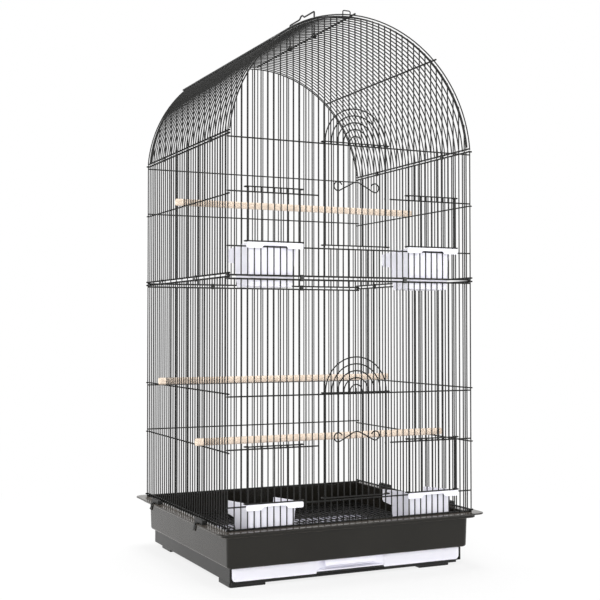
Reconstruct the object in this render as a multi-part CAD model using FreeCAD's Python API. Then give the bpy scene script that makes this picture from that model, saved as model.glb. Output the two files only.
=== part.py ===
"""A tall barrel-roofed bird cage of welded wire on a moulded base.

Units are millimetres. X runs to the right along the door side, Y runs to the back and Z is up.
The origin is on the floor, under the middle of the cage. The door side faces -Y.
"""
import FreeCAD, Part
import math
import os

os.makedirs("parts", exist_ok=True)
V = FreeCAD.Vector

# Wire stock and the room that moving pieces get
wall_wire = 2.2
cross_wire = 2.4
rail_wire = 3.0
door_wire = 2.2
handle_wire = 3.0
run_gap = 0.4
seat_gap = 0.3

# Cage plan: upright wires stand one pitch apart
bar_pitch = 11.5
front_gaps = 40
side_gaps = 36
cage_width = front_gaps * bar_pitch
cage_depth = side_gaps * bar_pitch

# Base: feet, drawer frame and tub, one above another
foot_height = 3.5
frame_height = 28.5
tub_height = 61.0
rim_top = foot_height + frame_height + tub_height

# Door openings, counted in pitches from the middle of their opening
door_half_gaps = 5
feeder_half_gaps = 4
feeder_centre_gaps = 13
feeder_door_height = 90.8
door_sill_gap = 5.5
hook_reach = bar_pitch / 2
hook_return = 6.5
scroll_rise = 105.5
scroll_half_width = 31.0
scroll_drop = 16.0
curl_radius = 7.5
curl_angle = 225.0
curl_flat_count = 8
crest_flat_count = 2

# Feeding cups
cup_height = 68.0
cup_depth = 72.0
cup_wall = 1.8
cup_taper = 5.0
cup_back_step = 22.0
cup_back_taper = 12.0
cup_corner = 5.0
lip_width = 101.0
lip_drop = 11.0
lip_middle_drop = 5.0
lip_recess_width = 42.0
cup_lift_room = 1.5
cup_floor_gap = 11.4

# Base mouldings
wall_thickness = 2.4
tub_inset = 4.0
tub_taper = 1.5
tub_corner = 12.0
flange_reach = 20.0
flange_thickness = 2.5
flange_corner = 25.0
skirt_reach = 9.0
skirt_depth = 6.5
frame_inset = 7.0
frame_wall = 3.5
frame_corner = 8.0
frame_sill = 3.7
runner_width = 28.0
rib_width = 10.5
floor_ring_width = 20.0
foot_length = 56.0
foot_width = 46.0
foot_inset = 4.0
grille_ledge_rise = 18.0
ledge_width = 7.0
ledge_thickness = 3.0
latch_slot_length = 16.0
latch_slot_height = 2.4
latch_slot_drop = 8.0

# Drawer
drawer_wall = 2.2
drawer_corner = 5.0
skid_width = 8.0
scoop_half_width = 64.0
scoop_end_slope = 16.0
scoop_depth = 14.0
pull_height = 11.5
pull_thickness = 3.0
sill_raise = 3.0

# Grille, latches, perches, handle and clips
grille_wire = 2.2
grille_cross_count = 9
grille_corner = 3.0
latch_length = 52.0
latch_thickness = 2.4
latch_arm = 13.0
latch_pin_radius = 1.5
latch_knuckle = 5.8
latch_ear_length = 3.0
latch_place = 115.0
perch_diameter = 12.5
perch_overhang = 11.0
perch_slot_depth = 15.0
perch_upper_gaps = 19
perch_rear_gaps = 27
perch_front_gaps = 10
handle_rise = 45.0
handle_bend = 9.0
handle_bend_flat_count = 3
handle_kink_foot = 10.0
handle_kink_top = 3.5
handle_kink_rise = 5.0
handle_half_gaps = 4.5
loop_wire = 2.0
loop_offset = 15.0
loop_half_width = 7.0
loop_rise = 4.0
clip_length = 8.6
clip_sheet = 1.0
clip_ease = 0.1
clip_front_gaps = 8.5
clip_side_front_gaps = 13.5
clip_side_back_gaps = 29.5
eave_clip_gaps = 7.5

# Levels of the wires that run across, each as a rise from the one below
lower_feeder_rise = 91.0
lower_door_rise = 84.5
lower_top_rise = 188.5
joint_gap = 6.0
upper_cup_rise = 46.5
upper_feeder_rise = 88.0
upper_door_rise = 87.0
eave_rise = 5.0
roof_rise = 5.0
side_shift = 4.5

grille_top = foot_height + frame_height + grille_ledge_rise + 2 * grille_wire
lower_cup_z = grille_top + cup_floor_gap + cup_height - cross_wire / 2 - seat_gap - cup_wall
lower_feeder_z = lower_cup_z + lower_feeder_rise
lower_door_z = lower_feeder_z + lower_door_rise
lower_top_z = lower_door_z + lower_top_rise
upper_foot_z = lower_top_z + joint_gap
upper_cup_z = upper_foot_z + upper_cup_rise
upper_feeder_z = upper_cup_z + upper_feeder_rise
upper_door_z = upper_feeder_z + upper_door_rise
eave_z = upper_door_z + eave_rise
roof_rail_z = eave_z + roof_rise

# Barrel roof: hoops lie just outside the arch of the end walls
hoop_flat_count = 10
door_hoop_flat_count = 8
arch_gap = 1.7
arch_drop = 10.5
arch_centre_z = upper_door_z - arch_drop
hoop_radius = cage_width / 2 + wall_wire / 2
arch_radius = hoop_radius - wall_wire / 2 - arch_gap - cross_wire / 2
shoulder_rod_steps = 2.5
shoulder_rod_overhang = 3.0

# Whole turns, in degrees
half_turn = 180
quarter_turn = 90


def save(name, *solids):
    """Write one sub-part; several solids stay separate in it."""
    shape = solids[0] if len(solids) == 1 else Part.makeCompound(list(solids))
    shape.exportStep("parts/" + name + ".step")


def bar(start, end, width):
    """A straight length of wire along one axis, square in section."""
    half = width / 2
    reach = []
    for a, b in ((start.x, end.x), (start.y, end.y), (start.z, end.z)):
        low, high = (min(a, b), max(a, b)) if a != b else (a - half, a + half)
        reach.append((low, high - low))
    (x, dx), (y, dy), (z, dz) = reach
    return Part.makeBox(dx, dy, dz, V(x, y, z))


def square_section(point, direction, width, roll):
    """The outline of a wire, square to its direction, with one side along roll."""
    across = direction.cross(roll).normalize() * (width / 2)
    along = V(roll).normalize() * (width / 2)
    corners = [point + across + along, point + across - along,
               point - across - along, point - across + along]
    return Part.makePolygon(corners + corners[:1])


def bent(points, width, normal):
    """Wire with sharp bends through points that lie in one plane."""
    section = square_section(points[0], points[1] - points[0], width, normal)
    path = Part.makePolygon(points)
    return path.makePipeShell([section], True, True, 1)


def flats(centre, radius, first, last, spans):
    """Points round an arc in an upright plane along X, by angles in degrees from +X."""
    points = []
    for index in range(spans + 1):
        angle = math.radians(first + (last - first) * index / spans)
        points.append(centre + V(radius * math.cos(angle), 0, radius * math.sin(angle)))
    return points


def plan(half_x, half_y, corner, z, centre_x=0, centre_y=0, spans=3):
    """The outline of a level rectangle whose corners are cut in short flats."""
    points = []
    for turn, (side_x, side_y) in enumerate(((1, 1), (-1, 1), (-1, -1), (1, -1))):
        x, y = centre_x + side_x * (half_x - corner), centre_y + side_y * (half_y - corner)
        for index in range(spans + 1):
            angle = math.radians(quarter_turn * (turn + index / spans))
            points.append(V(x + corner * math.cos(angle), y + corner * math.sin(angle), z))
    return points


def stacked(plans):
    """A solid with flat faces between level outlines, given from the lowest up."""
    outlines = [plans[0], plans[-1]]
    for lower, upper in zip(plans, plans[1:]):
        for index in range(len(lower)):
            outlines.append([lower[index - 1], lower[index], upper[index], upper[index - 1]])
    faces = [Part.Face(Part.makePolygon(outline + outline[:1])) for outline in outlines]
    solid = Part.Solid(Part.Shell(faces))
    if solid.Volume < 0:
        solid.reverse()
    return solid


def block(half_x, half_y, corner, low, high, growth=0, centre_x=0, centre_y=0):
    """A solid with that plan, which grows evenly from low to high."""
    bottom = plan(half_x, half_y, corner, low, centre_x, centre_y)
    top = plan(half_x + growth, half_y + growth, corner, high, centre_x, centre_y)
    return stacked([bottom, top])


def centred_box(half_x, half_y, low, high, centre_x=0, centre_y=0):
    return Part.makeBox(2 * half_x, 2 * half_y, high - low,
                        V(centre_x - half_x, centre_y - half_y, low))


def mirrored_x(shape):
    return shape.mirror(V(0, 0, 0), V(1, 0, 0))


def mirrored_y(shape):
    return shape.mirror(V(0, 0, 0), V(0, 1, 0))


# Planes of the end walls: uprights outermost, level wires welded inside them
upright_y = -cage_depth / 2
inner_face_y = upright_y + wall_wire / 2
front_cross_y = inner_face_y + cross_wire / 2
front_rail_y = inner_face_y + rail_wire / 2
post_x = cage_width / 2
side_inner_x = post_x - wall_wire / 2
side_cross_x = side_inner_x - cross_wire / 2
side_rail_x = side_inner_x - rail_wire / 2
wall_reach = post_x + wall_wire / 2


def front_x(index):
    return index * bar_pitch - cage_width / 2


def side_y(index):
    return index * bar_pitch - cage_depth / 2


def level_wire(z, width, x_from=-wall_reach, x_to=wall_reach):
    """A wire welded across the inside of the front wall."""
    y = inner_face_y + width / 2
    return bar(V(x_from, y, z), V(x_to, y, z), width)


def upright_spans(index, low, high, cup_z, feeder_z, door_z):
    """Where an upright of the front wall stands, as it is cut away at the openings."""
    from_middle = abs(index - front_gaps / 2)
    half = cross_wire / 2
    if from_middle < door_half_gaps:
        return [(low, cup_z + half), (door_z - half, high)]
    if abs(from_middle - feeder_centre_gaps) < feeder_half_gaps:
        return [(low, cup_z + half), (feeder_z - half, high)]
    return [(low, high)]


def gable_points():
    """The bends of the arched wire of an end wall, from just above one roof rail to the other."""
    foot_rise = roof_rail_z + (rail_wire + cross_wire) / 2 - arch_centre_z
    foot = math.degrees(math.asin(foot_rise / arch_radius))
    centre = V(0, front_cross_y, arch_centre_z)
    return flats(centre, arch_radius, foot, half_turn - foot, hoop_flat_count)


def arch_top(x):
    """The height at which an upright meets the arch of an end wall."""
    points = gable_points()
    for outer, inner in zip(points, points[1:]):
        if inner.x <= x <= outer.x:
            return outer.z + (inner.z - outer.z) * (outer.x - x) / (outer.x - inner.x)
    return eave_z + rail_wire / 2


def front_wall(low, top_of, cup_z, feeder_z, door_z):
    """The uprights and level wires of a front panel between its rails."""
    wires = []
    for index in range(front_gaps + 1):
        x = front_x(index)
        for bottom, top in upright_spans(index, low, top_of(x), cup_z, feeder_z, door_z):
            wires.append(bar(V(x, upright_y, bottom), V(x, upright_y, top), wall_wire))
    inner_end = front_x(front_gaps // 2 - door_half_gaps - 1) + wall_wire / 2
    wires.append(level_wire(cup_z, cross_wire))
    wires.append(level_wire(feeder_z, cross_wire, -wall_reach, inner_end))
    wires.append(level_wire(feeder_z, cross_wire, -inner_end, wall_reach))
    wires.append(level_wire(door_z, cross_wire))
    return wires


def back_wall(low, top_of, feeder_z, door_z):
    """A plain end panel, built at the front and mirrored to the back."""
    wires = []
    for index in range(front_gaps + 1):
        x = front_x(index)
        wires.append(bar(V(x, upright_y, low), V(x, upright_y, top_of(x)), wall_wire))
    wires.append(level_wire(feeder_z, cross_wire))
    wires.append(level_wire(door_z, cross_wire))
    return wires


def side_level_wire(z, width):
    """A wire along the right wall whose ends hook round the corner posts."""
    x = side_inner_x - width / 2
    tip_y = upright_y - wall_wire / 2 - width / 2
    tip_x = post_x + wall_wire / 2 + width / 2
    points = [V(tip_x, tip_y, z), V(x, tip_y, z), V(x, -tip_y, z), V(tip_x, -tip_y, z)]
    return bent(points, width, V(0, 0, 1))


def side_wall(low, high, cross_levels, rail_levels):
    """The uprights of the right wall between the corner posts, and its level wires."""
    wires = []
    for index in range(1, side_gaps):
        y = side_y(index)
        wires.append(bar(V(post_x, y, low), V(post_x, y, high), wall_wire))
    wires += [side_level_wire(z, cross_wire) for z in cross_levels]
    wires += [side_level_wire(z, rail_wire) for z in rail_levels]
    return wires


def make_walls():
    half_rail = rail_wire / 2
    foot_rail_z = rim_top + half_rail
    side_foot_z = foot_rail_z + rail_wire
    lower_high = lower_top_z + half_rail
    upper_low = upper_foot_z - half_rail
    lower_levels = (lower_cup_z, lower_feeder_z, lower_door_z)
    upper_levels = (upper_cup_z, upper_feeder_z, upper_door_z)

    def lower_top(x):
        return lower_high

    gable = bent(gable_points(), cross_wire, V(0, 1, 0))
    lower_rails = [level_wire(foot_rail_z, rail_wire), level_wire(lower_top_z, rail_wire)]
    upper_rails = [level_wire(upper_foot_z, rail_wire), gable]
    save("lower_front_panel", *front_wall(rim_top, lower_top, *lower_levels), *lower_rails)
    save("upper_front_panel", *front_wall(upper_low, arch_top, *upper_levels), *upper_rails)
    lower_back = back_wall(rim_top, lower_top, *lower_levels[1:]) + lower_rails
    upper_back = back_wall(upper_low, arch_top, *upper_levels[1:]) + upper_rails
    save("lower_back_panel", *[mirrored_y(wire) for wire in lower_back])
    save("upper_back_panel", *[mirrored_y(wire) for wire in upper_back])

    side_lower_top = lower_top_z + rail_wire
    side_upper_foot = upper_foot_z + rail_wire
    lower_side = side_wall(rim_top, side_lower_top + half_rail,
                           (lower_feeder_z - side_shift, lower_door_z + side_shift),
                           (side_foot_z, side_lower_top))
    upper_side = side_wall(side_upper_foot - half_rail, eave_z + half_rail,
                           (upper_feeder_z - side_shift,), (side_upper_foot, eave_z))
    save("lower_right_panel", *lower_side)
    save("upper_right_panel", *upper_side)
    save("lower_left_panel", *[mirrored_x(wire) for wire in lower_side])
    save("upper_left_panel", *[mirrored_x(wire) for wire in upper_side])


roof_foot = math.degrees(math.asin((roof_rail_z - rail_wire / 2 - arch_centre_z) / hoop_radius))
roof_step = (half_turn - 2 * roof_foot) / hoop_flat_count


def roof_hoop(y):
    """One wire of the barrel roof, bent in short flats from eave to eave."""
    centre = V(0, y, arch_centre_z)
    points = flats(centre, hoop_radius, roof_foot, half_turn - roof_foot, hoop_flat_count)
    return bent(points, wall_wire, V(0, 1, 0))


ridge_rod_z = arch_centre_z + hoop_radius + wall_wire / 2 + rail_wire / 2
end_face = cage_depth / 2 + wall_wire / 2


def shoulder_rod(lean):
    """A wire welded along the backs of the hoops, on the middle of one of their flats."""
    back = hoop_radius * math.cos(math.radians(roof_step / 2)) + (wall_wire + rail_wire) / 2
    reach = end_face + shoulder_rod_overhang
    z = arch_centre_z + back
    wire = bar(V(0, -reach, z), V(0, reach, z), rail_wire)
    return wire.rotate(V(0, 0, arch_centre_z), V(0, 1, 0), lean)


def roof_rods():
    """Two eave rails inside the feet of the hoops, and three rods over their backs."""
    rails = [bar(V(x, -end_face, roof_rail_z), V(x, end_face, roof_rail_z), rail_wire)
             for x in (-side_rail_x, side_rail_x)]
    lean = shoulder_rod_steps * roof_step
    ridge = Part.makeCylinder(rail_wire / 2, 2 * end_face, V(0, -end_face, ridge_rod_z),
                              V(0, 1, 0))
    return rails + [shoulder_rod(-lean), shoulder_rod(lean), ridge]


def roof_loop():
    """A small wire staple that stands on the front end hoop, to the left of the ridge."""
    y = inner_face_y + loop_wire / 2
    foot, top = arch_centre_z + arch_radius + run_gap, ridge_rod_z + loop_rise
    left, right = -loop_offset - loop_half_width, -loop_offset + loop_half_width
    points = [V(left, y, foot), V(left, y, top), V(right, y, top), V(right, y, foot)]
    return bent(points, loop_wire, V(0, 1, 0))


def make_roof():
    save("roof_hoops", *[roof_hoop(side_y(index)) for index in range(side_gaps + 1)])
    save("roof_rods", *roof_rods())
    save("roof_loop", roof_loop())


# Doors slide on the outside of the uprights
slide_y = upright_y - wall_wire / 2 - run_gap - door_wire / 2
door_bar_y = slide_y - door_wire
hook_y = inner_face_y + run_gap + door_wire / 2


def door_bar(centre_x, half_width, z):
    """A level door wire whose ends hook round the uprights beside the opening."""
    reach = half_width + hook_reach
    tip = reach - hook_return
    points = [V(centre_x - tip, hook_y, z), V(centre_x - reach, hook_y, z),
              V(centre_x - reach, door_bar_y, z), V(centre_x + reach, door_bar_y, z),
              V(centre_x + reach, hook_y, z), V(centre_x + tip, hook_y, z)]
    return bent(points, door_wire, V(0, 0, 1))


def door_hoop(radius, low, arch_z):
    """One of the nested wires of a main door: two legs and an arch bent in flats."""
    arch = flats(V(0, slide_y, arch_z), radius, 0, half_turn, door_hoop_flat_count)
    points = [V(radius, slide_y, low)] + arch + [V(-radius, slide_y, low)]
    return bent(points, door_wire, V(0, 1, 0))


def main_door(cup_z, door_z):
    """A sunburst door that hangs by its upper hooks on the level wire above the opening."""
    low = cup_z + door_sill_gap
    top = door_z + cross_wire / 2 + seat_gap + door_wire / 2
    foot = low - door_wire / 2
    crown = top + door_wire / 2
    wires = [door_hoop(ring * bar_pitch, foot, crown) for ring in range(1, door_half_gaps + 1)]
    wires.append(bar(V(0, slide_y, foot), V(0, slide_y, crown + bar_pitch / 2), door_wire))
    wires.append(door_bar(0, door_half_gaps * bar_pitch, low))
    wires.append(door_bar(0, door_half_gaps * bar_pitch, top))
    return wires


def door_scroll(cup_z):
    """A curled ornament across the front of a main door, the same to left and right.

    Each half is a crest, a straight fall and a curl; the fall is the inner tangent of the
    crest circle and the curl circle.
    """
    crest_radius = 2 * curl_radius
    radii = crest_radius + curl_radius
    climb = radii - scroll_drop
    straight = math.sqrt(scroll_half_width ** 2 + climb ** 2 - radii ** 2)
    fall = math.degrees(math.atan2(radii, straight) - math.atan2(climb, scroll_half_width))
    top = cup_z + door_sill_gap + scroll_rise
    crest = flats(V(0, door_bar_y, top - crest_radius), crest_radius, quarter_turn,
                  quarter_turn - fall, crest_flat_count)
    curl = flats(V(scroll_half_width, door_bar_y, top + curl_radius - scroll_drop), curl_radius,
                 half_turn + quarter_turn - fall,
                 half_turn + quarter_turn + curl_angle, curl_flat_count)
    right = crest + curl
    left = [V(-point.x, point.y, point.z) for point in reversed(right[1:])]
    return bent(left + right, door_wire, V(0, 1, 0))


def feeder_door(centre_x, cup_z):
    """A small gate of uprights that stands on the lip of its cup."""
    low = cup_z + cross_wire / 2 + seat_gap + cup_wall + seat_gap + door_wire / 2
    top = low + feeder_door_height
    half = feeder_half_gaps * bar_pitch
    wires = []
    for index in range(-feeder_half_gaps, feeder_half_gaps + 1):
        x = centre_x + index * bar_pitch
        wires.append(bar(V(x, slide_y, low - door_wire / 2), V(x, slide_y, top + door_wire / 2),
                         door_wire))
    wires.append(door_bar(centre_x, half, low))
    wires.append(door_bar(centre_x, half, top))
    return wires


def make_doors():
    feeder_x = feeder_centre_gaps * bar_pitch
    for level, cup_z, door_z in (("lower", lower_cup_z, lower_door_z),
                                 ("upper", upper_cup_z, upper_door_z)):
        save(level + "_main_door", *main_door(cup_z, door_z))
        save(level + "_door_scroll", door_scroll(cup_z))
        save(level + "_left_feeder_door", *feeder_door(-feeder_x, cup_z))
        save(level + "_right_feeder_door", *feeder_door(feeder_x, cup_z))
        save(level + "_left_cup", cup(-feeder_x, cup_z))
        save(level + "_right_cup", cup(feeder_x, cup_z))


def cup_body(centre_x, top, front_y, shrink, floor):
    """The outer or inner form of a cup; shrink moves every wall inwards."""
    half = feeder_half_gaps * bar_pitch - wall_wire / 2 - cup_lift_room - shrink
    step_taper = cup_taper * cup_back_step / cup_height
    levels = ((floor, cup_taper, cup_back_taper), (top - cup_back_step, step_taper, 0),
              (top, 0, 0))
    near, far = front_y + shrink, front_y + cup_depth - shrink
    plans = [plan(half - taper, (far - back - near - taper) / 2, cup_corner, z, centre_x,
                  (far - back + near + taper) / 2, 1) for z, taper, back in levels]
    return stacked(plans)


def cup(centre_x, cup_z):
    """A moulded feeding cup that hooks over the level wire below its opening."""
    plate_low = cup_z + cross_wire / 2 + seat_gap
    top = plate_low + cup_wall
    front_y = inner_face_y + rail_wire + run_gap
    outer = cup_body(centre_x, top, front_y, 0, top - cup_height)
    inner = cup_body(centre_x, top + cup_wall, front_y, cup_wall, top - cup_height + cup_wall)
    apron_y = slide_y - door_wire / 2 - run_gap
    bridge_half = feeder_half_gaps * bar_pitch - wall_wire / 2 - cup_lift_room
    bridge = Part.makeBox(2 * bridge_half, front_y + cup_wall - apron_y, cup_wall,
                          V(centre_x - bridge_half, apron_y, plate_low))
    apron = Part.makeBox(lip_width, cup_wall, lip_drop,
                         V(centre_x - lip_width / 2, apron_y - cup_wall, top - lip_drop))
    recess = Part.makeBox(lip_recess_width, cup_wall, lip_drop - lip_middle_drop,
                          V(centre_x - lip_recess_width / 2, apron_y - cup_wall, top - lip_drop))
    lip = apron.cut(recess)
    return outer.cut(inner).fuse([bridge, lip]).removeSplitter()


# The base: its sizes follow the wall wires that stand on its rim
tub_half_x = cage_width / 2 - tub_inset
tub_half_y = cage_depth / 2 - tub_inset
tub_low = foot_height + frame_height
frame_half_x = tub_half_x - tub_taper - frame_inset
frame_half_y = tub_half_y - tub_taper - frame_inset
slot_low = foot_height + frame_sill
ledge_z = tub_low + grille_ledge_rise
flange_low = rim_top - flange_thickness
flange_half_x = cage_width / 2 + flange_reach
flange_half_y = cage_depth / 2 + flange_reach


def latch_slots():
    """Slots in the side walls of the tub, under each latch."""
    low = rim_top - flange_thickness - skirt_depth - latch_slot_drop
    cuts = []
    for x in (-tub_half_x, tub_half_x):
        for y in (-latch_place, latch_place):
            cuts.append(Part.makeBox(4 * wall_thickness, latch_slot_length, latch_slot_height,
                                     V(x - 2 * wall_thickness, y - latch_slot_length / 2, low)))
    return cuts


latch_axis_x = flange_half_x + run_gap + latch_thickness / 2
latch_axis_z = flange_low - skirt_depth


def latch():
    """A hinged clasp that folds over the edge of the flange and holds the wire walls down."""
    half = latch_length / 2
    outside = flange_half_x + run_gap
    high = rim_top + run_gap
    arm = Part.makeBox(latch_arm, latch_length, latch_thickness,
                       V(outside + latch_thickness - latch_arm, -half, high))
    cheek = Part.makeBox(latch_thickness, latch_length, high + latch_thickness - latch_axis_z,
                         V(outside, -half, latch_axis_z))
    knuckle = centred_box(latch_knuckle / 2, half, latch_axis_z - latch_knuckle / 2,
                          latch_axis_z + latch_knuckle / 2, latch_axis_x)
    bore = Part.makeCylinder(latch_pin_radius + seat_gap, latch_length,
                             V(latch_axis_x, -half, latch_axis_z), V(0, 1, 0))
    return arm.fuse([cheek, knuckle]).cut(bore).removeSplitter()


def latch_pivot():
    """Two ears under the edge of the flange and the pin that a clasp turns on."""
    half = latch_length / 2 + run_gap
    reach = latch_pin_radius + latch_ear_length / 2
    inside = flange_half_x - latch_ear_length
    ears = [Part.makeBox(latch_axis_x + reach - inside, latch_ear_length,
                         flange_low - latch_axis_z + reach, V(inside, y, latch_axis_z - reach))
            for y in (-half - latch_ear_length, half)]
    pin = Part.makeCylinder(latch_pin_radius, 2 * half, V(latch_axis_x, -half, latch_axis_z),
                            V(0, 1, 0))
    return ears + [pin]


def base_tub():
    """The deep black moulding: tapered walls, a wide flange, a floor ring and a grille ledge."""
    low_x, low_y = tub_half_x - tub_taper, tub_half_y - tub_taper
    wall = block(low_x, low_y, tub_corner, tub_low, flange_low, tub_taper)
    skirt = block(cage_width / 2 + skirt_reach, cage_depth / 2 + skirt_reach,
                  (tub_corner + flange_corner) / 2, flange_low - skirt_depth, flange_low)
    flange = block(flange_half_x, flange_half_y, flange_corner, flange_low, rim_top)
    outer = wall.fuse([skirt, flange])
    well = block(low_x - wall_thickness, low_y - wall_thickness, tub_corner - wall_thickness,
                 tub_low + wall_thickness, rim_top, tub_taper)
    hole_x, hole_y = low_x - floor_ring_width, low_y - floor_ring_width
    hole = centred_box(hole_x, hole_y, tub_low, tub_low + wall_thickness)
    ledge_outer = block(low_x, low_y, tub_corner, ledge_z - ledge_thickness, ledge_z)
    ledge_inner = centred_box(low_x - wall_thickness - ledge_width,
                              low_y - wall_thickness - ledge_width,
                              ledge_z - ledge_thickness, ledge_z)
    tub = outer.cut([well, hole] + latch_slots()).fuse(ledge_outer.cut(ledge_inner))
    pivots = []
    for y in (-latch_place, latch_place):
        for piece in latch_pivot():
            piece.translate(V(0, y, 0))
            pivots += [piece, mirrored_x(piece)]
    return tub.fuse(pivots).removeSplitter()


def drawer_frame():
    """The lower moulding: a low frame with runners, open to the front for the drawer."""
    outer = block(frame_half_x, frame_half_y, frame_corner, foot_height, tub_low)
    inner_x, inner_y = frame_half_x - frame_wall, frame_half_y - frame_wall
    well = block(inner_x, inner_y, frame_corner - frame_wall, slot_low, tub_low)
    runner_x, runner_y = frame_half_x - runner_width, frame_half_y - runner_width
    hole = centred_box(runner_x, runner_y, foot_height, slot_low)
    mouth = Part.makeBox(2 * inner_x, frame_wall + frame_corner, tub_low - slot_low,
                         V(-inner_x, -frame_half_y, slot_low))
    rise = Part.makeBox(2 * scoop_half_width, frame_wall, sill_raise,
                        V(-scoop_half_width, -frame_half_y, slot_low))
    rib = centred_box(rib_width / 2, runner_y, foot_height, slot_low)
    shell = outer.cut([well, hole, mouth]).fuse([rise, rib])
    foot_x = frame_half_x - foot_inset - foot_length / 2
    foot_y = frame_half_y - foot_inset - foot_width / 2
    feet = [centred_box(foot_length / 2, foot_width / 2, 0, foot_height, x, y)
            for x in (-foot_x, foot_x) for y in (-foot_y, foot_y)]
    return shell.fuse(feet).removeSplitter()


def drawer_tray():
    """The white slide-out tray: it runs on two skids and has a scooped front with a pull plate.

    Its floor clears the raised middle of the frame's sill, and its front reaches lower beside it.
    """
    half_x = frame_half_x - frame_wall - run_gap
    near, far = -frame_half_y, frame_half_y - frame_wall - run_gap
    half_y, middle_y = (far - near) / 2, (far + near) / 2
    low, high = slot_low + seat_gap, tub_low - run_gap
    floor_low = slot_low + sill_raise + run_gap
    outer = block(half_x, half_y, drawer_corner, floor_low, high, 0, 0, middle_y)
    well = block(half_x - drawer_wall, half_y - drawer_wall, drawer_corner - drawer_wall,
                 floor_low + drawer_wall, high, 0, 0, middle_y)

    def scoop(grow, reach, bottom, top):
        """A block with the plan of the scoop, whose ends slope."""
        mouth = scoop_half_width + grow
        deep = mouth - scoop_end_slope
        points = [V(-mouth, near, bottom), V(mouth, near, bottom),
                  V(deep, near + reach, bottom), V(-deep, near + reach, bottom)]
        face = Part.Face(Part.makePolygon(points + points[:1]))
        return face.extrude(V(0, 0, top - bottom))

    backing = scoop(drawer_wall, scoop_depth + drawer_wall, floor_low, high)
    pocket = scoop(0, scoop_depth, floor_low + drawer_wall, high - drawer_wall)
    body = outer.cut(well).fuse(backing).cut(pocket)
    pull_half = scoop_half_width - scoop_end_slope
    pull = Part.makeBox(2 * pull_half, pull_thickness, pull_height,
                        V(-pull_half, near, high - pull_height))
    apron_start = scoop_half_width + run_gap
    pieces = [pull]
    for side in (-1, 1):
        middle = side * (apron_start + half_x - drawer_corner) / 2
        half = (half_x - drawer_corner - apron_start) / 2
        pieces.append(centred_box(half, drawer_wall / 2, low, floor_low, middle,
                                  near + drawer_wall / 2))
        pieces.append(centred_box(skid_width / 2, half_y - drawer_corner, low, floor_low,
                                  side * (half_x - drawer_corner - skid_width / 2), middle_y))
    return body.fuse(pieces).removeSplitter()


def floor_grille():
    """A welded wire floor that lies on the ledge inside the tub."""
    reach_x = tub_half_x - tub_taper - wall_thickness - run_gap
    reach_y = tub_half_y - tub_taper - wall_thickness - run_gap
    half = grille_wire / 2
    z = ledge_z + half
    edge_x, edge_y = reach_x - half - grille_corner, reach_y - half - grille_corner
    wires = [bar(V(x, -edge_y - half, z), V(x, edge_y + half, z), grille_wire)
             for x in (-edge_x, edge_x)]
    for index in range(grille_cross_count + 2):
        y = -edge_y + index * 2 * edge_y / (grille_cross_count + 1)
        wires.append(bar(V(-edge_x + half, y, z), V(edge_x - half, y, z), grille_wire))
    along_z = z + grille_wire
    for index in range(1, front_gaps):
        x = front_x(index)
        wires.append(bar(V(x, -edge_y - half, along_z), V(x, edge_y + half, along_z), grille_wire))
    return wires


def make_base():
    save("base_tub", base_tub())
    save("drawer_frame", drawer_frame())
    save("drawer_tray", drawer_tray())
    save("floor_grille", *floor_grille())
    for side, turn in (("right", False), ("left", True)):
        for end, y in (("front", -latch_place), ("back", latch_place)):
            clasp = mirrored_x(latch()) if turn else latch()
            clasp.translate(V(0, y, 0))
            save(side + "_" + end + "_latch", clasp)


def perch(y, rest_z):
    """A dowel across the cage, slotted at its ends to straddle an upright."""
    radius = perch_diameter / 2
    reach = cage_width / 2 + perch_overhang
    z = rest_z + cross_wire / 2 + radius
    dowel = Part.makeCylinder(radius, 2 * reach, V(-reach, y, z), V(1, 0, 0))
    slot_width = wall_wire + 2 * run_gap
    slots = [Part.makeBox(perch_slot_depth, slot_width, perch_diameter,
                          V(x, y - slot_width / 2, z - radius))
             for x in (-reach, reach - perch_slot_depth)]
    return dowel.cut(slots)


def make_perches():
    save("upper_perch", perch(side_y(perch_upper_gaps), upper_feeder_z - side_shift))
    save("lower_rear_perch", perch(side_y(perch_rear_gaps), lower_door_z + side_shift))
    save("lower_front_perch", perch(side_y(perch_front_gaps), lower_feeder_z - side_shift))


def carry_handle():
    """A wire bail whose eyes go round the ridge rod; it is bent along X, then turned."""
    half = handle_half_gaps * bar_pitch
    crown = ridge_rod_z + handle_rise
    centre_x, centre_z = half - handle_bend, crown - handle_bend
    points = [V(-half, 0, ridge_rod_z)]
    points += flats(V(-centre_x, 0, centre_z), handle_bend, half_turn, quarter_turn,
                    handle_bend_flat_count)
    points += [V(-handle_kink_foot, 0, crown), V(-handle_kink_top, 0, crown + handle_kink_rise),
               V(handle_kink_top, 0, crown + handle_kink_rise), V(handle_kink_foot, 0, crown)]
    points += flats(V(centre_x, 0, centre_z), handle_bend, quarter_turn, 0,
                    handle_bend_flat_count)
    points.append(V(half, 0, ridge_rod_z))
    bail = bent(points, handle_wire, V(0, 1, 0))
    bore_radius = rail_wire / 2 + run_gap
    low_end = V(-half - handle_wire / 2, 0, ridge_rod_z)
    for x in (-half, half):
        eye = Part.makeCylinder(bore_radius + handle_wire, handle_wire,
                                V(x - handle_wire / 2, 0, ridge_rod_z), V(1, 0, 0))
        bail = bail.fuse(eye)
    bore = Part.makeCylinder(bore_radius, 2 * half + handle_wire, low_end, V(1, 0, 0))
    return bail.cut(bore).rotate(V(0, 0, 0), V(0, 0, 1), quarter_turn)


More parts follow.
